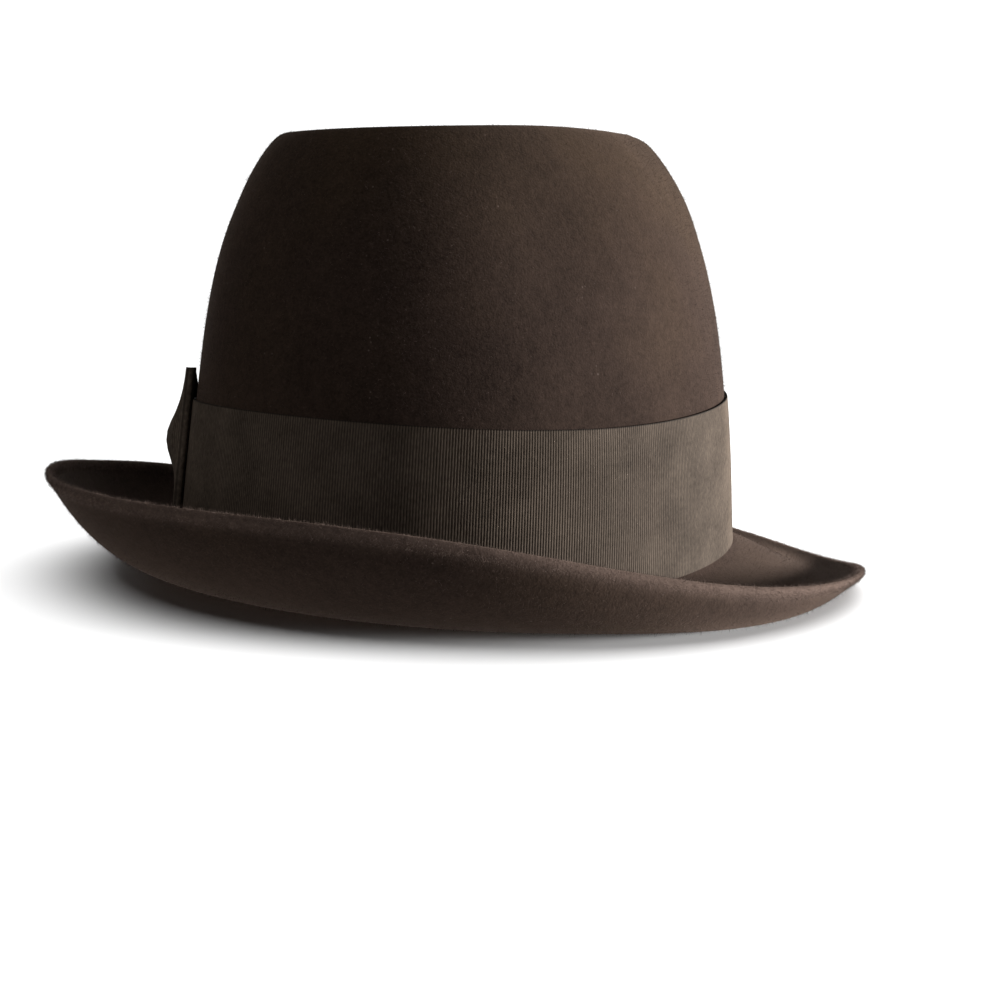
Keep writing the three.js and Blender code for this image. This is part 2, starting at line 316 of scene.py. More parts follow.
@dataclass(frozen=True)
class FeltFinish:
    """Brushed fur felt: mottled and matt, paler along its raw edge, partly from wear and partly as a
    painted highlight.
    """

    name: str = "brown_fur_felt"
    deep: Colour = (0.0100, 0.0063, 0.0048, 1)
    light: Colour = (0.0370, 0.0240, 0.0186, 1)
    warm_deep: Colour = (0.0104, 0.0066, 0.0037, 1)
    warm_light: Colour = (0.0390, 0.0250, 0.0156, 1)
    # Pale colour of the raw edge: partly the felt's worn edge, partly a painted highlight along the rim.
    edge: Colour = (0.1050, 0.0740, 0.0610, 1)
    lint: Colour = (0.13, 0.10, 0.088, 1)
    mottle: Noise = Noise(26.0, 4.0, 0.4)
    cloud: Noise = Noise(190.0, 5.0, 0.4)
    tuft: Noise = Noise(560.0, 3.0, 0.5)
    nap: Noise = Noise(1500.0, 3.0, 0.7)
    blotch: Noise = Noise(15.0, 2.0, 0.4)
    shown: Stretch = Stretch(0.88, 1.54)
    sun_worn: Stretch = Stretch(0.095, 0.150, 0.0, 0.6)
    blotch_worn: Stretch = Stretch(0.5, 0.62)
    blotch_warmth: float = 0.3
    edge_wear_and_highlight: Stretch = Stretch(0.9, 1.5, 0.35, 1.0)
    lint_scale: float = 420.0
    lint_size: Stretch = Stretch(0.06, 0.16, 1.0, 0.0)
    lint_spread: Noise = Noise(95.0, 1.0)
    lint_share: Stretch = Stretch(0.62, 0.72, 0.0, 0.6)
    gloss: float = 0.05
    sheen: float = 0.10
    sheen_roughness: float = 0.5
    sheen_tint: Colour = (0.62, 0.43, 0.33, 1)
    relief: float = 0.00022
    relief_of_nap: float = 0.7
    relief_of_tufts: float = 0.6

    def material(self) -> bpy.types.Material:
        """Wire the felt.

        Returns:
            The finished material.
        """
        shader = Shader(self.name)
        place = shader.place()
        patterns = (self.mottle, self.cloud, self.tuft, self.nap, self.blotch)
        values = [shader.noise(place, pattern) for pattern in patterns]
        tuft, nap, blotch = values[2:]
        tone = shader.total(*zip(values, [pattern.weight for pattern in patterns]))
        shown = shader.remap(tone, self.shown)
        height = shader.add("ShaderNodeSeparateXYZ", {"Vector": place}).outputs["Z"]
        by_blotch = shader.remap(blotch, self.blotch_worn)
        warmth = shader.total((shader.remap(height, self.sun_worn), 1.0), (by_blotch, self.blotch_warmth))
        cool = shader.blend(shown, self.deep, self.light)
        shade = shader.blend(warmth, cool, shader.blend(shown, self.warm_deep, self.warm_light))
        # Paler raw edge along the rim: partly real wear, partly a painted highlight.
        rim = shader.add("ShaderNodeAttribute", attribute_name=RIM).outputs["Fac"]
        wear_and_highlight_share = shader.operate("MULTIPLY", rim, shader.remap(tone, self.edge_wear_and_highlight))
        shade = shader.blend(wear_and_highlight_share, shade, self.edge)
        fleck = shader.add("ShaderNodeTexVoronoi", {"Vector": place, "Scale": self.lint_scale})
        near = shader.remap(fleck.outputs["Distance"], self.lint_size)
        rare = shader.remap(shader.noise(place, self.lint_spread), self.lint_share)
        speck = shader.operate("MULTIPLY", near, rare)
        raised = shader.total((nap, self.relief_of_nap), (tuft, self.relief_of_tufts))
        inputs = {
            "Base Color": shader.blend(speck, shade, self.lint),
            "Roughness": 1.0,
            "Specular IOR Level": self.gloss,
            "Sheen Weight": self.sheen,
            "Sheen Roughness": self.sheen_roughness,
            "Sheen Tint": self.sheen_tint,
            "Normal": shader.bump(raised, self.relief),
        }
        return shader.coat(inputs)


@dataclass(frozen=True)
class FuzzFinish:
    """Loose fur fibres, a little paler than the felt they stand on."""

    name: str = "loose_fur"
    deep: Colour = (0.024, 0.0160, 0.0126, 1)
    light: Colour = (0.105, 0.0760, 0.0640, 1)
    tone: Noise = Noise(700.0, 2.0)
    shown: Stretch = Stretch(0.38, 0.68)
    roughness: float = 0.9
    gloss: float = 0.1

    def material(self) -> bpy.types.Material:
        """Wire the fibres.

        Returns:
            The finished material.
        """
        shader = Shader(self.name)
        tone = shader.remap(shader.noise(shader.place(), self.tone), self.shown)
        inputs = {
            "Base Color": shader.blend(tone, self.deep, self.light),
            "Roughness": self.roughness,
            "Specular IOR Level": self.gloss,
        }
        return shader.coat(inputs)


PALE_FUR = FuzzFinish(
    name="pale_fur",
    deep=(0.040, 0.0270, 0.0215, 1),
    light=(0.185, 0.135, 0.115, 1),
)


@dataclass(frozen=True)
class GrosgrainFinish:
    """Grey-brown ribbon: fine threads over its ribs, painted shade in the grooves between them and a
    painted shadow along its upper edge.
    """

    name: str = "grey_brown_grosgrain"
    deep: Colour = (0.0330, 0.0244, 0.0182, 1)
    light: Colour = (0.1120, 0.0860, 0.0660, 1)
    # Colour of the painted shade in the rib grooves and of the painted shadow along the upper edge.
    shadow: Colour = (0.0060, 0.0046, 0.0036, 1)
    # Painted shade: how far the grooves between the ribs are darkened.
    painted_groove_shade: Stretch = Stretch(0.4, -1.0, 0.0, 0.62)
    roughness: float = 0.75
    gloss: float = 0.04
    sheen: float = 0.03
    sheen_roughness: float = 0.4
    sheen_tint: Colour = (0.80, 0.62, 0.45, 1)
    cloud: Noise = Noise(60.0, 4.0, 0.6)
    thread: Noise = Noise(2600.0, 2.0, 0.7)
    thread_stretch: tuple[float, float, float] = (1.0, 0.22, 1.0)
    thread_relief: float = 0.04 * MM
    shown: Stretch = Stretch(0.4, 0.95)
    # Painted shadow along the ribbon's upper edge, over its last half millimetre.
    painted_shadow_edge: Stretch = Stretch(RIBBON_WIDTH - 0.5 * MM, RIBBON_WIDTH)

    def material(self) -> bpy.types.Material:
        """Wire the ribbon.

        Returns:
            The finished material.
        """
        shader = Shader(self.name)
        place = shader.add("ShaderNodeUVMap", uv_map="ribbon").outputs["UV"]
        cloud = shader.noise(place, self.cloud)
        drawn = shader.add("ShaderNodeMapping", {"Vector": place, "Scale": self.thread_stretch})
        thread = shader.noise(drawn.outputs["Vector"], self.thread)
        tone = shader.total((cloud, self.cloud.weight), (thread, self.thread.weight))
        shade = shader.blend(shader.remap(tone, self.shown), self.deep, self.light)
        parts = shader.add("ShaderNodeSeparateXYZ", {"Vector": place}).outputs
        # Painted shade: darken the grooves between the ribs.
        wave = shader.operate("COSINE", shader.operate("MULTIPLY", parts["X"], math.tau / RIB_PITCH))
        shade = shader.blend(shader.remap(wave, self.painted_groove_shade), shade, self.shadow)
        # The base colour gets a painted shadow along the ribbon's upper edge.
        inputs = {
            "Base Color": shader.blend(shader.remap(parts["Y"], self.painted_shadow_edge), shade, self.shadow),
            "Roughness": self.roughness,
            "Specular IOR Level": self.gloss,
            "Sheen Weight": self.sheen,
            "Sheen Roughness": self.sheen_roughness,
            "Sheen Tint": self.sheen_tint,
            "Normal": shader.bump(thread, self.thread_relief),
        }
        return shader.coat(inputs)


# The felt


@dataclass(frozen=True)
class SoftHollow:
    """A place where a hand has pressed the felt in, or out where its depth is below nothing.

    It is given in degrees from the front and in millimetres: its middle, its spread and its depth.
    """

    direction: float
    height: float
    turn: float
    rise: float
    depth: float


@dataclass
class FeltBody:
    """Crown and brim in one piece of felt."""

    finish: FeltFinish = field(default_factory=FeltFinish)
    piece: bpy.types.Object = field(init=False)
    weld: float = 0.01 * MM
    levels: int = 2
    sharp: float = 50.0
    shading: float = 80.0
    low: float = 60 * MM
    edge_steps: int = 14
    edge_reach: float = 3.0 * MM
    edge_swell: float = 0.45 * MM
    valley_heights: tuple[float, float] = (18 * MM, 34 * MM)
    valley_facing: tuple[float, float] = (0.1, 0.45)
    crest_heights: tuple[float, float] = (112 * MM, 142 * MM)
    soft_rounds: int = 90
    softness: float = 0.5
    crest_lift: float = 1.4 * MM
    corner_lift: float = 1.5 * MM
    corners: Sequence[float] = (143.0, 323.0)
    corner_turn: float = 26.0
    lift_heights: tuple[float, float] = (122 * MM, 148 * MM)
    snap_depth: float = 1.7 * MM
    snap_direction: float = 4.0
    snap_turn: float = 14.0
    snap_reach: tuple[float, float] = (95 * MM, 135 * MM)
    hollows: Sequence[SoftHollow] = (
        SoftHollow(254.0, 113.0, 13.0, 17.0, 1.1),
        SoftHollow(205.0, 88.0, 17.0, 22.0, 0.7),
        SoftHollow(292.0, 96.0, 16.0, 24.0, 0.6),
        SoftHollow(128.0, 104.0, 15.0, 20.0, 0.9),
        SoftHollow(70.0, 112.0, 13.0, 18.0, 1.0),
        SoftHollow(323.0, 132.0, 28.0, 13.0, -1.5),
        SoftHollow(143.0, 136.0, 28.0, 12.0, -0.8),
    )

    def build(self) -> bpy.types.Object:
        """Refine the frame's felt into a smooth, softly hollowed shell.

        Returns:
            The finished felt.
        """
        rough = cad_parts["felt_body"]
        piece = self.piece = new_object("felt_shell", rough.data.copy())
        piece.data.materials.clear()
        edit_all(piece)
        bpy.ops.mesh.remove_doubles(threshold=self.weld)
        bpy.ops.mesh.tris_convert_to_quads(face_threshold=math.pi, shape_threshold=math.pi)
        bpy.ops.mesh.select_all(action="DESELECT")
        bpy.ops.mesh.select_mode(type="EDGE")
        bpy.ops.mesh.edges_select_sharp(sharpness=math.radians(self.sharp))
        bpy.ops.object.mode_set(mode="OBJECT")
        edge = self.raw_edge()
        apply_modifier(piece, "SUBSURF", levels=self.levels, render_levels=self.levels)
        self.soften()
        self.raise_crest()
        self.snap_front()
        self.press()
        self.swell(edge)
        smooth(piece, self.shading)
        hand_over(piece, self.finish.material(), "felt", "felt_body")
        return piece

    def soften(self) -> None:
        """Smooth the brim's upper face where it turns up from the table, and round the crest."""
        heights = points_of(self.piece)[:, 2]
        facing = np.array([vertex.normal.z for vertex in self.piece.data.vertices])
        in_valley = 1.0 - ramp(heights, *self.valley_heights)
        shares = {
            "valley": in_valley * ramp(facing, *self.valley_facing),
            "crest": ramp(heights, *self.crest_heights),
        }
        for name, share in shares.items():
            group = self.piece.vertex_groups.new(name=name)
            for index in np.nonzero(share)[0].tolist():
                group.add([index], float(share[index]), "REPLACE")
            settings = {"factor": self.softness, "iterations": self.soft_rounds}
            apply_modifier(self.piece, "SMOOTH", vertex_group=name, **settings)
            self.piece.vertex_groups.clear()

    def raise_crest(self) -> None:
        """Raise the crest a little, most at its two corners."""
        points = points_of(self.piece)
        turn = turn_of(outward(points))
        lift = np.full(len(points), self.crest_lift)
        for corner in self.corners:
            off = turn_from(corner, turn)
            lift += self.corner_lift * np.exp(-((off / self.corner_turn) ** 2))
        points[:, 2] += ramp(points[:, 2], *self.lift_heights) * lift
        set_points(self.piece, points)

    def snap_front(self) -> None:
        """Snap the front of the brim down a little further, no lower than the table."""
        points = points_of(self.piece)
        out = outward(points)
        off = turn_from(self.snap_direction, turn_of(out))
        reach = np.linalg.norm(out, axis=1)
        share = ramp(reach, *self.snap_reach) * np.exp(-((off / self.snap_turn) ** 2))
        lowered = points[:, 2] - share * self.snap_depth
        points[:, 2] = np.maximum(lowered, np.minimum(points[:, 2], 0.0))
        set_points(self.piece, points)

    def press(self) -> None:
        """Press the soft hollows into both faces of the felt alike."""
        points = points_of(self.piece)
        out = outward(points)
        turn = turn_of(out)
        inward = -out / np.maximum(np.linalg.norm(out, axis=1, keepdims=True), MM)
        for hollow in self.hollows:
            off = turn_from(hollow.direction, turn)
            up = points[:, 2] / MM - hollow.height
            share = np.exp(-((off / hollow.turn) ** 2) - (up / hollow.rise) ** 2)
            points[:, :2] += inward * (share * hollow.depth * MM)[:, None]
        set_points(self.piece, points)

    def raw_edge(self) -> KDTree:
        """Collect points along the selected sharp edges of the rim.

        Returns:
            The points, ready for a search by distance.
        """
        corners = self.piece.data.vertices
        steps = [step / self.edge_steps for step in range(self.edge_steps)]
        found = []
        for edge in self.piece.data.edges:
            here, there = (corners[index].co for index in edge.vertices)
            if edge.select and max(here.z, there.z) < self.low:
                found.extend(here.lerp(there, step) for step in steps)
        tree = KDTree(len(found))
        for index, point in enumerate(found):
            tree.insert(point, index)
        tree.balance()
        return tree

    def swell(self, edge: KDTree) -> None:
        """Swell the felt a little along its raw edge, and store how near each vertex is to it.

        Args:
            edge: Points along the raw edge.
        """
        mesh = self.piece.data
        store = mesh.attributes.new(RIM, "FLOAT", "POINT")
        for vertex, value in zip(mesh.vertices, store.data):
            away = edge.find(vertex.co)[2] / self.edge_reach
            value.value = math.exp(-away * away)
        shares = [value.value for value in store.data]
        normals = [vertex.normal.copy() for vertex in mesh.vertices]
        for vertex, normal, share in zip(mesh.vertices, normals, shares):
            vertex.co += normal * (share * self.edge_swell)
        mesh.update()


def ramp(values: np.ndarray, low: float, high: float) -> np.ndarray:
    """Rise smoothly from 0 at the low value to 1 at the high one."""
    share = np.clip((values - low) / (high - low), 0.0, 1.0)
    return share * share * (3.0 - 2.0 * share)


def crown_middle() -> Vector:
    """The middle of the crown's foot, from the ribbon that runs round it."""
    low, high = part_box("ribbon_band")
    return (Vector(low) + Vector(high)) / 2


def outward(points: np.ndarray) -> np.ndarray:
    """The flat way out from the crown's middle to each point."""
    return points[:, :2] - np.array(crown_middle())[:2]


def turn_of(out: np.ndarray) -> np.ndarray:
    """The direction of each way out, in degrees from the front over the wearer's left."""
    return np.degrees(np.arctan2(out[:, 0], -out[:, 1]))


def turn_from(direction: float, turn: np.ndarray) -> np.ndarray:
    """How far each turn is from a direction, from -180 to 180 degrees."""
    return (turn - direction + 180.0) % 360.0 - 180.0


@dataclass
class Crown:
    """The outer face of the crown, to lay ribbon on."""

    felt: bpy.types.Object
    clear: float = 12 * MM
    edge_steps: int = 60
    edge_waves: int = 8
    trip_steps: int = 720
    girth_steps: int = 180

    def __post_init__(self) -> None:
        """Read the finished felt, and the edges of the frame's ribbon."""
        mesh = self.felt.data
        corners = [v.co.copy() for v in mesh.vertices]
        self.tree = BVHTree.FromPolygons(corners, [tuple(p.vertices) for p in mesh.polygons])
        low, high = (Vector(corner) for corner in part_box("ribbon_band"))
        self.middle = crown_middle()
        self.half = (high - low) / 2
        self.foot, self.head = self.ribbon_edges()

    def ribbon_edges(self) -> tuple[Callable[[float], float], Callable[[float], float]]:
        """Read the heights of the frame's ribbon round the hat.

        Returns:
            Two smooth curves of direction: the height of its lower and of its upper edge.
        """
        steps, waves = self.edge_steps, self.edge_waves
        lows, highs = [1.0] * steps, [0.0] * steps
        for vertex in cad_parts["ribbon_band"].data.vertices:
            out = vertex.co - self.middle
            step = round(math.atan2(out.x, -out.y) * steps / math.tau) % steps
            lows[step] = min(lows[step], vertex.co.z)
            highs[step] = max(highs[step], vertex.co.z)

        def curve(values: list[float]) -> Callable[[float], float]:
            """Draw a smooth closed curve through values round the hat.

            Args:
                values: The values, at equal steps round it.

            Returns:
                A function of direction.
            """
            terms = np.fft.rfft(values)[:waves] / steps
            terms[1:] *= 2
            orders = np.arange(waves)
            return lambda direction: float(np.sum(terms * np.exp(1j * orders * direction)).real)

        return curve(lows), curve(highs)

    def at(self, direction: float, height: float) -> tuple[Vector, Vector]:
        """Find the felt's outer face.

        Args:
            direction: Angle in radians from the front over the wearer's left.
            height: Height above the table.

        Returns:
            The point on the felt and the horizontal way out from the hat's middle there.
        """
        way = Vector((math.sin(direction), -math.cos(direction), 0.0))
        oval = math.hypot(way.x / self.half.x, way.y / self.half.y)
        start = self.middle + way * (1 / oval + self.clear)
        start.z = height
        hit = self.tree.ray_cast(start, -way)[0]
        return hit, way

    def over(self, direction: float, share: float, out: float) -> Vector:
        """Find a point out from the felt, beside the ribbon.

        Args:
            direction: Angle in radians from the front over the wearer's left.
            share: Place between the ribbon's lower edge (0) and its upper edge (1).
            out: Distance out from the felt.

        Returns:
            The point in the hat's frame.
        """
        low, high = self.foot(direction), self.head(direction)
        hit, way = self.at(direction, low + share * (high - low))
        return hit + way * out

    def trip(self, steps: int) -> tuple[list[float], list[float]]:
        """Go once round the crown along the ribbon's middle.

        Args:
            steps: How many steps to take.

        Returns:
            The direction at each step in radians, and the way covered by then.
        """
        directions = [step / steps * math.tau for step in range(steps + 1)]
        line = [self.over(direction, 0.5, 0.0) for direction in directions]
        covered = [0.0]
        for here, there in zip(line, line[1:]):
            covered.append(covered[-1] + (there - here).length)
        return directions, covered

    def round_trip(self, count: int) -> list[float]:
        """Divide the way round the crown into equal parts.

        Args:
            count: How many parts.

        Returns:
            The direction in radians at the start of each part.
        """
        directions, covered = self.trip(self.trip_steps)
        wanted = np.linspace(0.0, covered[-1], count, endpoint=False)
        return list(np.interp(wanted, covered, directions))

    def girth(self) -> float:
        """The way round the crown along the ribbon's middle."""
        return self.trip(self.girth_steps)[1][-1]


# Ribbon and bow


@dataclass(frozen=True)
class Weave:
    """How grosgrain is woven: round ribs across the ribbon, flatter along its two edges."""

    pitch: float = RIB_PITCH
    relief: float = 0.21 * MM
    thickness: float = 0.62 * MM
    profile: Sequence[float] = (1.0, 0.5, 0.0, 0.5)
    edge: float = 0.03
    edge_relief: float = 0.55

    @property
    def columns(self) -> int:
        """How many columns of vertices draw one rib."""
        return len(self.profile)

    def height(self, column: int, share: float) -> float:
        """How far the ribbon's face stands out at a column and a share of its width.

        Args:
            column: Number of the column along the ribbon.
            share: Place across the ribbon, from 0 to 1.

        Returns:
            The relief in metres.
        """
        inside = min(share, 1.0 - share) / self.edge
        fade = self.edge_relief + (1.0 - self.edge_relief) * min(1.0, inside)
        return self.relief * fade * self.profile[column % self.columns]


def across_shares(rows: int, hem: float = 0.02) -> list[float]:
    """Shares across a ribbon, with one close to each edge."""
    inner = [step / rows for step in range(1, rows)]
    return [0.0, hem, *inner, 1.0 - hem, 1.0]


def ribbon_uv(piece: bpy.types.Object, along: Sequence[float], across: Sequence[float]) -> None:
    """Give a ribbon its own map: metres along it and metres across it.

    Args:
        piece: The ribbon.
        along: Distance along the ribbon at each vertex.
        across: Distance across the ribbon at each vertex.
    """
    layer = piece.data.uv_layers.new(name="ribbon")
    for loop in piece.data.loops:
        layer.data[loop.index].uv = (along[loop.vertex_index], across[loop.vertex_index])


@dataclass
class RibbonBand:
    """The ribbon round the foot of the crown."""

    crown: Crown
    finish: bpy.types.Material
    weave: Weave = field(default_factory=Weave)
    width: float = RIBBON_WIDTH
    gap: float = 0.35 * MM
    rows: int = 8

    def build(self) -> bpy.types.Object:
        """Draw the ribbon up from a ring, lay it on the crown and give it its thickness.

        Returns:
            The finished band.
        """
        ribs = round(self.crown.girth() / self.weave.pitch)
        columns = ribs * self.weave.columns
        shares = across_shares(self.rows)
        deselect_all()
        bpy.ops.mesh.primitive_circle_add(vertices=columns, radius=self.crown.half.x)
        piece = bpy.context.object
        piece.name = BAND
        edit_all(piece)
        for here, there in zip(shares, shares[1:]):
            lift = {"value": (0.0, 0.0, (there - here) * self.width)}
            bpy.ops.mesh.extrude_region_move(TRANSFORM_OT_translate=lift)
        bpy.ops.mesh.select_all(action="SELECT")
        bpy.ops.mesh.normals_make_consistent(inside=False)
        bpy.ops.object.mode_set(mode="OBJECT")
        directions = self.crown.round_trip(columns)
        points = points_of(piece)
        row_of = np.rint(np.interp(points[:, 2] / self.width, shares, range(len(shares)))).astype(int)
        turn = np.arctan2(points[:, 1], points[:, 0]) * columns / math.tau
        column_of = np.rint(turn).astype(int) % columns
        laid = []
        for row, column in zip(row_of, column_of):
            share = shares[row]
            out = self.gap + self.weave.thickness + self.weave.height(column, share)
            laid.append(self.crown.over(directions[column], share, out))
        set_points(piece, np.array(laid))
        along = [column / self.weave.columns * self.weave.pitch for column in column_of]
        ribbon_uv(piece, along, [shares[row] * self.width for row in row_of])
        apply_modifier(piece, "SOLIDIFY", thickness=self.weave.thickness, offset=-1.0)
        smooth(piece, RIBBON_SHADING)
        hand_over(piece, self.finish, "ribbon", "ribbon_band")
        return piece


@dataclass(frozen=True)
class LoopSection:
    """One section of a bow's loop, from under the knot (0) to its fold (1).

    Its fullness is a share of the bow's, its lower and upper edge are shares of the ribbon's
    width, and how far it has risen is a share of the loop's rise.
    """

    along: float
    full: float
    low: float
    high: float
    risen: float


@dataclass
class Bow:
    """Where and how the flat bow lies on the ribbon, and what its parts share."""

    crown: Crown
    finish: bpy.types.Material
    weave: Weave = field(default_factory=Weave)
    direction: float = 138.0
    width: float = RIBBON_WIDTH
    seat: float = 1.2 * MM
    grip: float = 0.35 * MM
    slack: float = 0.2 * MM
    knot_width: float = 15 * MM
    fold: float = 1.3 * MM
    fullness: float = 5.2 * MM
    belly: float = 0.59
    spread: float = 0.21
    sections: Sequence[LoopSection] = (
        LoopSection(0.0, 0.0, 0.1, 0.9, 0.0),
        LoopSection(0.2, 0.05, 0.09, 0.91, 0.12),
        LoopSection(0.45, 0.75, 0.04, 0.96, 0.4),
        LoopSection(0.7, 1.0, 0.0, 1.0, 0.7),
        LoopSection(0.9, 0.55, -0.02, 1.0, 0.92),
        LoopSection(1.0, 0.0, -0.03, 1.0, 1.0),
    )

    def section(self, share: float, what: str) -> float:
        """Read one column of the sections at a share of the loop's length."""
        places = [row.along for row in self.sections]
        return float(np.interp(share, places, [getattr(row, what) for row in self.sections]))

    def over(self, along: float, above: float, out: float) -> Vector:
        """A point over the ribbon.

        Args:
            along: Distance along the ribbon from the bow's middle, towards the hat's back.
            above: Height above the ribbon's lower edge.
            out: Distance out from the seat of the bow.

        Returns:
            The point in the hat's frame.
        """
        middle = math.radians(self.direction)
        low = self.crown.foot(middle)
        reach = (self.crown.at(middle, low)[0] - self.crown.middle).to_2d().length
        direction = middle + along / reach
        share = above / self.width
        return self.crown.over(direction, share, self.seat + out)

    def opening(self, share: float, height: float) -> float:
        """How far a loop's upper layer lies out from its lower one.

        Args:
            share: Share of the loop's length.
            height: Share of the ribbon's width there.

        Returns:
            The distance between the middles of the two layers.
        """
        bend = (height - self.belly) / self.spread
        press = math.exp(-bend * bend)
        closed = self.weave.thickness + self.weave.relief + self.slack
        rest = closed + (2 * self.fold - closed) * share
        return rest + self.fullness * self.section(share, "full") * press

    def fold_up(
        self,
        name: str,
        node: str,
        width: float,
        shares: Sequence[float],
        laid: Sequence[tuple[Vector, float, float]],
        flip: bool = False,
    ) -> bpy.types.Object:
        """Cut a ribbon flat as a grid, fold it into its place and give it its thickness.

        Args:
            name: The piece's name.
            node: The solid that it stands for.
            width: Its width when flat.
            shares: Where the rows of vertices lie across it.
            laid: For each vertex, column by column, its place and how far along and across it is.
            flip: Whether its face has to be turned over.

        Returns:
            The finished ribbon.
        """
        points, along, across = zip(*laid)
        counts = {"x_subdivisions": len(shares) - 1, "y_subdivisions": len(laid) // len(shares) - 1}
        deselect_all()
        bpy.ops.mesh.primitive_grid_add(size=width, **counts)
        piece = bpy.context.object
        piece.name = name
        set_points(piece, np.array([tuple(point) for point in points]))
        ribbon_uv(piece, along, across)
        if flip:
            edit_all(piece)
            bpy.ops.mesh.flip_normals()
        apply_modifier(piece, "SOLIDIFY", thickness=self.weave.thickness, offset=0.0)
        smooth(piece, RIBBON_SHADING)
        max(along)
        hand_over(piece, self.finish, "ribbon", node)
        return piece


@dataclass
class BowLoop:
    """One loop of the bow: out from under the knot, round its fold and back with a belly."""

    bow: Bow
    name: str
    node: str
    way: Way
    rise: float
    length: float = 30 * MM
    rows: int = 16
    fold_ribs: int = 2

    def path(self) -> list[tuple[float, float]]:
        """List the columns of the loop along the ribbon.

        Returns:
            For each column its share of the length, and its turn round the fold from -1 (the
            lower layer) to 1 (the upper one).
        """
        weave = self.bow.weave
        end = self.bow.knot_width / 2 + self.length
        flat = round(end / weave.pitch) * weave.columns
        bend = self.fold_ribs * weave.columns
        lower = [(step / flat, -1.0) for step in range(flat)]
        round_it = [(1.0, -1.0 + 2.0 * step / bend) for step in range(bend + 1)]
        upper = [(1.0 - step / flat, 1.0) for step in range(1, flat + 1)]
        return [*lower, *round_it, *upper]

    def build(self) -> bpy.types.Object:
        """Cut the ribbon flat, fold it over and lay it on the band.

        Returns:
            The finished loop.
        """
        bow, weave = self.bow, self.bow.weave
        shares = across_shares(self.rows)
        end = bow.knot_width / 2 + self.length - bow.fold - weave.thickness / 2
        laid = []
        for column, (share, turn) in enumerate(self.path()):
            along = column / weave.columns * weave.pitch
            for height in shares:
                risen = bow.section(share, "risen") * self.rise
                low = bow.section(share, "low") * bow.width + risen
                high = bow.section(share, "high") * bow.width + risen
                above = low + height * (high - low)
                angle = turn * math.pi / 2
                relief = weave.height(column, height)
                beyond = bow.fold * math.cos(angle) + relief * math.cos(angle)
                out = bow.opening(share, height) / 2 * (1 + math.sin(angle)) + relief * math.sin(angle)
                place = self.way.value * (bow.grip + (end - bow.grip) * share + beyond)
                point = bow.over(place, above, weave.thickness / 2 + out)
                laid.append((point, along, height * bow.width))
        flip = self.way is Way.FORWARD
        return bow.fold_up(self.name, self.node, bow.width, shares, laid, flip)


@dataclass
class BowKnot:
    """The ribbon wrapped over the loops' ends and tucked in below and above them."""

    bow: Bow
    width: float = 14.4 * MM
    front: float = 3.4 * MM
    fullness: float = 0.8 * MM
    bend: float = 1.8 * MM
    low: float = 3.0 * MM
    high: float = 50.5 * MM
    rows: int = 8
    bend_steps: int = 8
    face_steps: int = 24
    gathered: tuple[float, float] = (0.1, 0.8)

    def profile(self) -> list[tuple[float, float]]:
        """Draw the wrap's line from below to above.

        Returns:
            Each point's height above the ribbon's lower edge, and its way out from the seat.
        """
        corner = [step / self.bend_steps * math.pi / 2 for step in range(self.bend_steps + 1)]
        lower = [
            (self.low + self.bend * (1 - math.sin(a)), self.front - self.bend * (1 - math.cos(a)))
            for a in reversed(corner)
        ]
        span = self.high - self.low - 2 * self.bend
        face = [
            (self.low + self.bend + span * s, self.front + self.fullness * math.sin(math.pi * s))
            for s in (step / self.face_steps for step in range(1, self.face_steps))
        ]
        upper = [(self.low + self.high - z, out) for z, out in reversed(lower)]
        return [(self.low, 0.0), *lower, *face, *upper, (self.high, 0.0)]

    def build(self) -> bpy.types.Object:
        """Cut the knot's ribbon, wrap it over and tuck in its ends.

        Returns:
            The finished knot.
        """
        bow, weave = self.bow, self.bow.weave
        corners = self.profile()
        lengths = [0.0]
        for (z0, o0), (z1, o1) in zip(corners, corners[1:]):
            lengths.append(lengths[-1] + math.hypot(z1 - z0, o1 - o0))
        columns = round(lengths[-1] / weave.pitch) * weave.columns
        shares = across_shares(self.rows)
        steps = np.linspace(0.0, lengths[-1], columns + 1)
        start, part = self.gathered
        heights = np.interp(steps, lengths, [z for z, _ in corners])
        outs = np.interp(steps, lengths, [out for _, out in corners])
        slope_z, slope_out = np.gradient(heights, steps), np.gradient(outs, steps)
        laid = []
        for column in range(len(steps)):
            along = column * (weave.pitch / weave.columns)
            for share in shares:
                relief = weave.height(column, share)
                above = heights[column] - relief * slope_out[column]
                out = outs[column] + relief * slope_z[column]
                point = bow.over((0.5 - share) * self.width, above, weave.thickness / 2 + out)
                laid.append((point, along, (start + part * share) * bow.width))
        return bow.fold_up("bow_knot_wrap", "bow_knot", self.width, shares, laid)


# Nap


FIBRE_FACES = ((0, 2, 1), (0, 1, 3), (1, 2, 3), (2, 0, 3))
NO_AREA = 1e-12


@dataclass(frozen=True)
class Tuft:
    """One kind of fibre: where it grows, how many there are, and how long and upright they are."""

    name: str
    count: int
    shortest: float
    longest: float
    lean: float
    along_rim: bool
    above: float = -1.0
    below: float = 1.0
    pale: bool = False


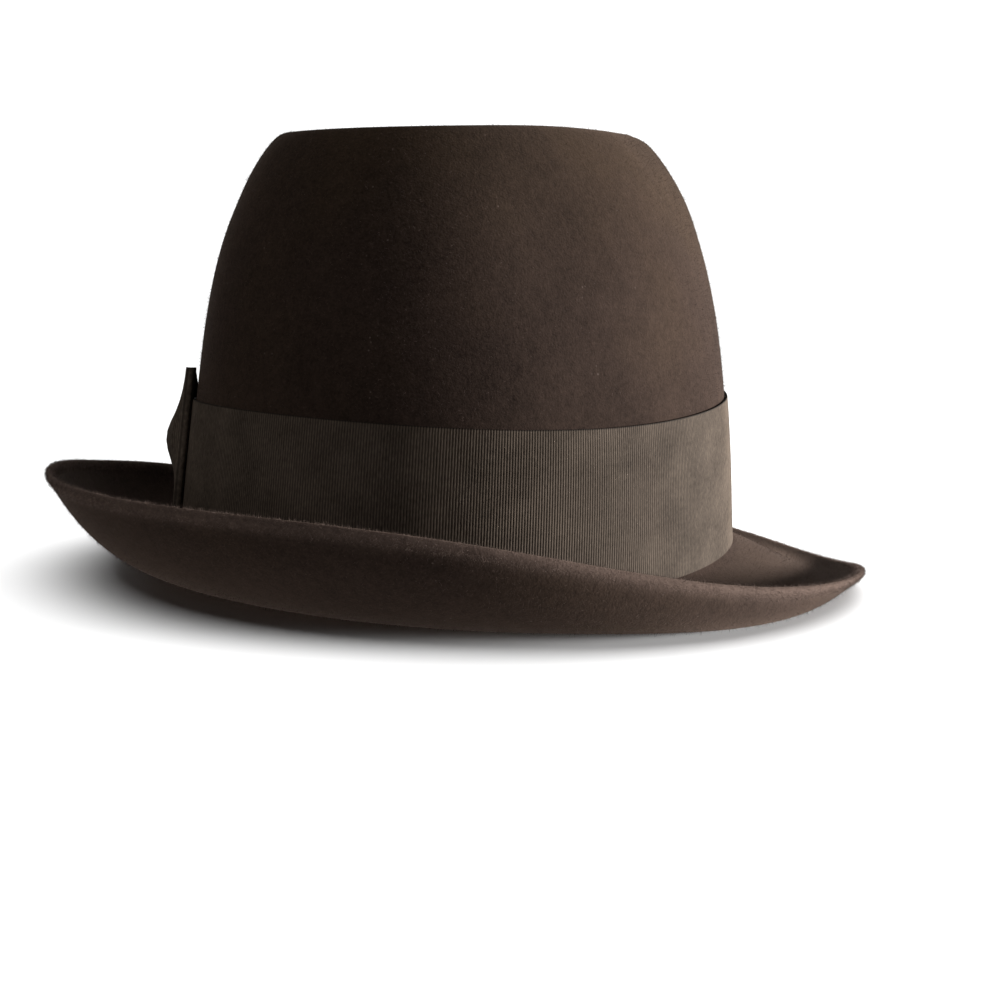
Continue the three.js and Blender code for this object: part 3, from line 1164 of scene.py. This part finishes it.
@dataclass
class Nap:
    """Loose fibres that stand off the felt, thickest along the raw edge of the brim."""

    crown: Crown
    thickness: float = 0.038 * MM
    sunk: float = 0.15 * MM
    rim_share: float = 0.3
    ribbon_room: float = 1.5 * MM
    bow_room: float = 12 * MM
    bow_turn: tuple[float, float] = (112.0, 164.0)
    edge_table: int = 361
    facing_up: float = 0.1
    facing_out: float = 0.3
    scatter: float = 0.8
    least_out: float = 0.25
    nudge: float = 0.1
    seed: int = 7
    tufts: Sequence[Tuft] = (
        Tuft("nap_on_crown", 49000, 0.3 * MM, 1.7 * MM, 0.9, False, above=52 * MM),
        Tuft("nap_on_brim", 49000, 0.3 * MM, 1.6 * MM, 0.9, False, below=52 * MM),
        Tuft("nap_along_rim", 48000, 0.3 * MM, 1.5 * MM, 0.9, True, pale=True),
        Tuft("stray_hairs", 70, 2.0 * MM, 4.5 * MM, 0.8, True),
    )

    def build(self) -> None:
        """Grow each kind of fibre as a piece of its own."""
        plain = FuzzFinish().material()
        pale = PALE_FUR.material()
        chance = np.random.default_rng(self.seed)
        mesh = self.crown.felt.data
        mesh.calc_loop_triangles()
        sides = np.empty(len(mesh.loop_triangles) * 3, dtype=int)
        mesh.loop_triangles.foreach_get("vertices", sides)
        corners = points_of(self.crown.felt)[sides.reshape(-1, 3)]
        rim = np.empty(len(mesh.vertices))
        mesh.attributes[RIM].data.foreach_get("value", rim)
        near_rim = rim[sides.reshape(-1, 3)].mean(axis=1)
        cross = np.cross(corners[:, 1] - corners[:, 0], corners[:, 2] - corners[:, 0])
        area = np.linalg.norm(cross, axis=1)
        normals = cross / np.maximum(area, NO_AREA)[:, None]
        middles = corners.mean(axis=1)
        open_felt = self.shows(middles, normals)
        for tuft in self.tufts:
            height = middles[:, 2]
            if tuft.along_rim:
                wanted = near_rim > self.rim_share
            else:
                wanted = open_felt & (height > tuft.above) & (height < tuft.below)
            weights = np.where(wanted, area, 0.0)
            picked = chance.choice(len(area), size=tuft.count, p=weights / weights.sum())
            finish = pale if tuft.pale else plain
            self.grow(tuft, corners[picked], normals[picked], chance, finish)

    def shows(self, middles: np.ndarray, normals: np.ndarray) -> np.ndarray:
        """Find the felt that is outside the hat and clear of the ribbon and the bow.

        Args:
            middles: The middle of each triangle.
            normals: The normal of each triangle.

        Returns:
            Whether fibres grow on each triangle.
        """
        out = outward(middles)
        away = np.linalg.norm(out, axis=1)
        facing = (normals[:, :2] * out).sum(axis=1) / np.maximum(away, MM)
        outside = (normals[:, 2] > self.facing_up) | (facing > self.facing_out)
        turn = np.arctan2(out[:, 0], -out[:, 1]) % math.tau
        table = np.linspace(0.0, math.tau, self.edge_table)
        low = np.interp(turn, table, [self.crown.foot(angle) for angle in table])
        high = np.interp(turn, table, [self.crown.head(angle) for angle in table])
        degrees = np.degrees(turn)
        by_bow = (degrees > self.bow_turn[0]) & (degrees < self.bow_turn[1])
        room = np.where(by_bow, self.bow_room, self.ribbon_room)
        oval = np.hypot(out[:, 0] / self.crown.half.x, out[:, 1] / self.crown.half.y)
        close = oval < 1.0 + room / self.crown.half.x
        covered = close & (middles[:, 2] > low - self.ribbon_room) & (middles[:, 2] < high + room)
        return outside & ~covered

    def grow(
        self,
        tuft: Tuft,
        corners: np.ndarray,
        normals: np.ndarray,
        chance: np.random.Generator,
        finish: bpy.types.Material,
    ) -> None:
        """Grow closed, pointed, three-sided fibres, one on each given triangle.

        Args:
            tuft: The kind of fibre.
            corners: The corners of each fibre's triangle.
            normals: The normal of each fibre's triangle.
            chance: The source of random draws.
            finish: The fibres' material.
        """
        count = len(corners)
        shares = chance.dirichlet((1.0, 1.0, 1.0), count)
        place = (corners * shares[:, :, None]).sum(axis=1)
        way = normals + chance.normal(size=(count, 3)) * tuft.lean * self.scatter
        upright = (way * normals).sum(axis=1, keepdims=True)
        way += normals * np.maximum(self.least_out - upright, 0.0)
        way /= np.linalg.norm(way, axis=1, keepdims=True)
        side = np.cross(way, np.roll(way, 1, axis=1) + self.nudge)
        side /= np.linalg.norm(side, axis=1, keepdims=True)
        other = np.cross(way, side)
        foot = place - normals * self.sunk
        length = chance.uniform(tuft.shortest, tuft.longest, (count, 1)) + self.sunk
        ring = []
        for turn in (0.0, math.tau / 3, 2 * math.tau / 3):
            ring.append(foot + (side * math.cos(turn) + other * math.sin(turn)) * self.thickness)
        points = np.stack([*ring, foot + way * length], axis=1).reshape(-1, 3)
        first = np.arange(count)[:, None] * (len(ring) + 1)
        sides = [first + np.array(face) for face in FIBRE_FACES]
        made = bpy.data.meshes.new(tuft.name)
        made.from_pydata(points.tolist(), [], np.concatenate(sides).tolist())
        piece = new_object(tuft.name, made)
        piece.visible_shadow = False
        hand_over(piece, finish, "felt")


# Studio


@dataclass(frozen=True)
class StageFinish:
    """Plain pale paint for the floor."""

    name: str = "pale_floor"
    colour: Colour = (0.82, 0.82, 0.82, 1)
    roughness: float = 0.9

    def material(self) -> bpy.types.Material:
        """Wire the floor's paint."""
        return Shader(self.name).coat({"Base Color": self.colour, "Roughness": self.roughness})


@dataclass
class Studio:
    """Floor, soft light mostly from the right of the picture, and the photograph's camera."""

    floor_size: float = 60.0
    eye: Vector = field(default_factory=lambda: Vector((-0.41967, 0.32397, 0.09498)))
    right: Vector = field(default_factory=lambda: Vector((-0.60077, -0.79829, 0.04251)))
    up: Vector = field(default_factory=lambda: Vector((0.15410, -0.06347, 0.98602)))
    lens: float = 53.4
    shift: tuple[float, float] = (0.038, 0.045)
    nearest: float = 0.01
    key_side: float = 89.0
    key_height: float = 0.13
    key_distance: float = 1.5
    key_size: tuple[float, float] = (0.62, 0.24)
    key_power: float = 86.0
    key_aim: Vector = field(default_factory=lambda: Vector((0.0, 0.0, 0.07)))
    top_power: float = 0.5
    floor_power: float = 3.6
    top_spread: float = 80.0
    bounce_side: float = 72.0
    bounce_rise: float = 50.0
    bounce_power: float = 1.8
    bounce_spread: float = 50.0
    fill_side: float = -40.0
    fill_rise: float = -15.0
    fill_power: float = 1.0
    fill_spread: float = 70.0
    dusk: float = 0.030
    wall: float = 1.25
    wall_turn: tuple[float, float] = (0.62, 0.86)

    def build(self) -> None:
        """Set up the whole studio."""
        self.floor()
        self.light()
        self.camera()

    def floor(self) -> None:
        """Lay the floor."""
        deselect_all()
        bpy.ops.mesh.primitive_plane_add(size=self.floor_size)
        floor = bpy.context.object
        floor.name = "floor"
        floor.data.materials.append(StageFinish().material())
        floor.visible_diffuse = False
        floor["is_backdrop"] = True

    def light(self) -> None:
        """Hang the key light, the soft lights from above, from below and from the left, and the sky."""
        flat = self.toward(self.key_side)
        lamp = bpy.data.lights.new("key", "AREA")
        lamp.energy = self.key_power
        lamp.shape = "RECTANGLE"
        lamp.size, lamp.size_y = self.key_size
        light = new_object("key", lamp)
        light.location = (flat.x * self.key_distance, flat.y * self.key_distance, self.key_height)
        light.rotation_euler = (self.key_aim - light.location).to_track_quat("-Z", "Y").to_euler()
        self.soft_sun("top", self.top_power, self.top_spread)
        on_floor = self.soft_sun("floor_light", self.floor_power, self.top_spread)
        on_floor.light_linking.receiver_collection = self.floor_group("INCLUDE")
        bounce = self.soft_sun("bounce", self.bounce_power, self.bounce_spread)
        fill = self.soft_sun("fill", self.fill_power, self.fill_spread)
        self.aim(bounce, self.bounce_side, self.bounce_rise)
        self.aim(fill, self.fill_side, self.fill_rise)
        bounce.light_linking.blocker_collection = self.floor_group("EXCLUDE")
        self.sky()

    def toward(self, side: float) -> Vector:
        """The flat way out to one side of the hat.

        Args:
            side: Degrees from the camera over its right.

        Returns:
            A way of length one.
        """
        toward_eye = Vector(self.eye.to_2d()).normalized()
        right = Vector(self.right.to_2d()).normalized()
        return toward_eye * math.cos(math.radians(side)) + right * math.sin(math.radians(side))

    def aim(self, light: bpy.types.Object, side: float, rise: float) -> None:
        """Turn a soft light, and let it shine on the hat alone.

        Args:
            light: The light.
            side: Which side it comes from, in degrees from the camera over its right.
            rise: How steeply it shines upward, in degrees.
        """
        flat = self.toward(side) * -math.cos(math.radians(rise))
        upward = Vector((flat.x, flat.y, math.sin(math.radians(rise))))
        light.rotation_euler = upward.to_track_quat("-Z", "Y").to_euler()
        light.light_linking.receiver_collection = self.floor_group("EXCLUDE")

    def soft_sun(self, name: str, power: float, spread: float) -> bpy.types.Object:
        """Add a wide soft light that shines straight down.

        Args:
            name: The light's name.
            power: Its strength in watts a square metre.
            spread: How wide it looks from the hat, in degrees.

        Returns:
            The light.
        """
        sun = bpy.data.lights.new(name, "SUN")
        sun.energy = power
        sun.angle = math.radians(spread)
        return new_object(name, sun)

    def floor_group(self, state: str) -> bpy.types.Collection:
        """Group the floor, for a light that only the floor gets or that passes through it.

        Args:
            state: INCLUDE or EXCLUDE.

        Returns:
            The group.
        """
        group = bpy.data.collections.new("floor_" + state.lower())
        group.objects.link(bpy.data.objects["floor"])
        group.collection_objects[0].light_linking.link_state = state
        return group

    def sky(self) -> None:
        """Light the room dimly, with a pale wall behind the hat."""
        world = bpy.data.worlds.new("sky")
        bpy.context.scene.world = world
        world.use_nodes = True
        nodes, links = world.node_tree.nodes, world.node_tree.links
        way = nodes.new("ShaderNodeTexCoord")
        along = nodes.new("ShaderNodeVectorMath")
        along.operation = "DOT_PRODUCT"
        along.inputs[1].default_value = -Vector((*self.eye.to_2d(), 0.0)).normalized()
        links.new(way.outputs["Generated"], along.inputs[0])
        near = nodes.new("ShaderNodeMapRange")
        near.interpolation_type = "SMOOTHSTEP"
        names = ("From Min", "From Max", "To Min", "To Max")
        for name, value in zip(names, (*self.wall_turn, self.dusk, self.wall)):
            near.inputs[name].default_value = value
        links.new(along.outputs["Value"], near.inputs["Value"])
        background = nodes["Background"]
        background.inputs["Color"].default_value = (1, 1, 1, 1)
        links.new(near.outputs["Result"], background.inputs["Strength"])

    def camera(self) -> None:
        """Stand the camera where the photograph was taken from."""
        lens = bpy.data.cameras.new("camera")
        lens.lens = self.lens
        lens.shift_x, lens.shift_y = self.shift
        lens.clip_start = self.nearest
        camera = new_object("camera", lens)
        turn = Matrix((self.right, self.up, self.right.cross(self.up))).transposed()
        camera.matrix_world = Matrix.Translation(self.eye) @ turn.to_4x4()
        bpy.context.scene.camera = camera
        bpy.context.scene.view_settings.view_transform = "Standard"


def main() -> None:
    """Build the hat, piece by piece, and the studio round it."""
    logging.basicConfig(level=logging.INFO, format="%(name)s %(message)s")
    felt = FeltBody().build()
    crown = Crown(felt)
    ribbon = GrosgrainFinish().material()
    RibbonBand(crown, ribbon).build()
    bow = Bow(crown, ribbon)
    BowLoop(bow, "bow_loop_forward", "bow_front_loop", Way.FORWARD, rise=7.5 * MM).build()
    BowLoop(bow, "bow_loop_backward", "bow_back_loop", Way.BACKWARD, rise=10.5 * MM).build()
    BowKnot(bow).build()
    Nap(crown).build()
    Studio().build()
    boxes = {"cad": CAD_BOX, "visual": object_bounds()}
    {name: [list(corner) for corner in box] for name, box in boxes.items()}


if __name__ == "__main__":
    main()
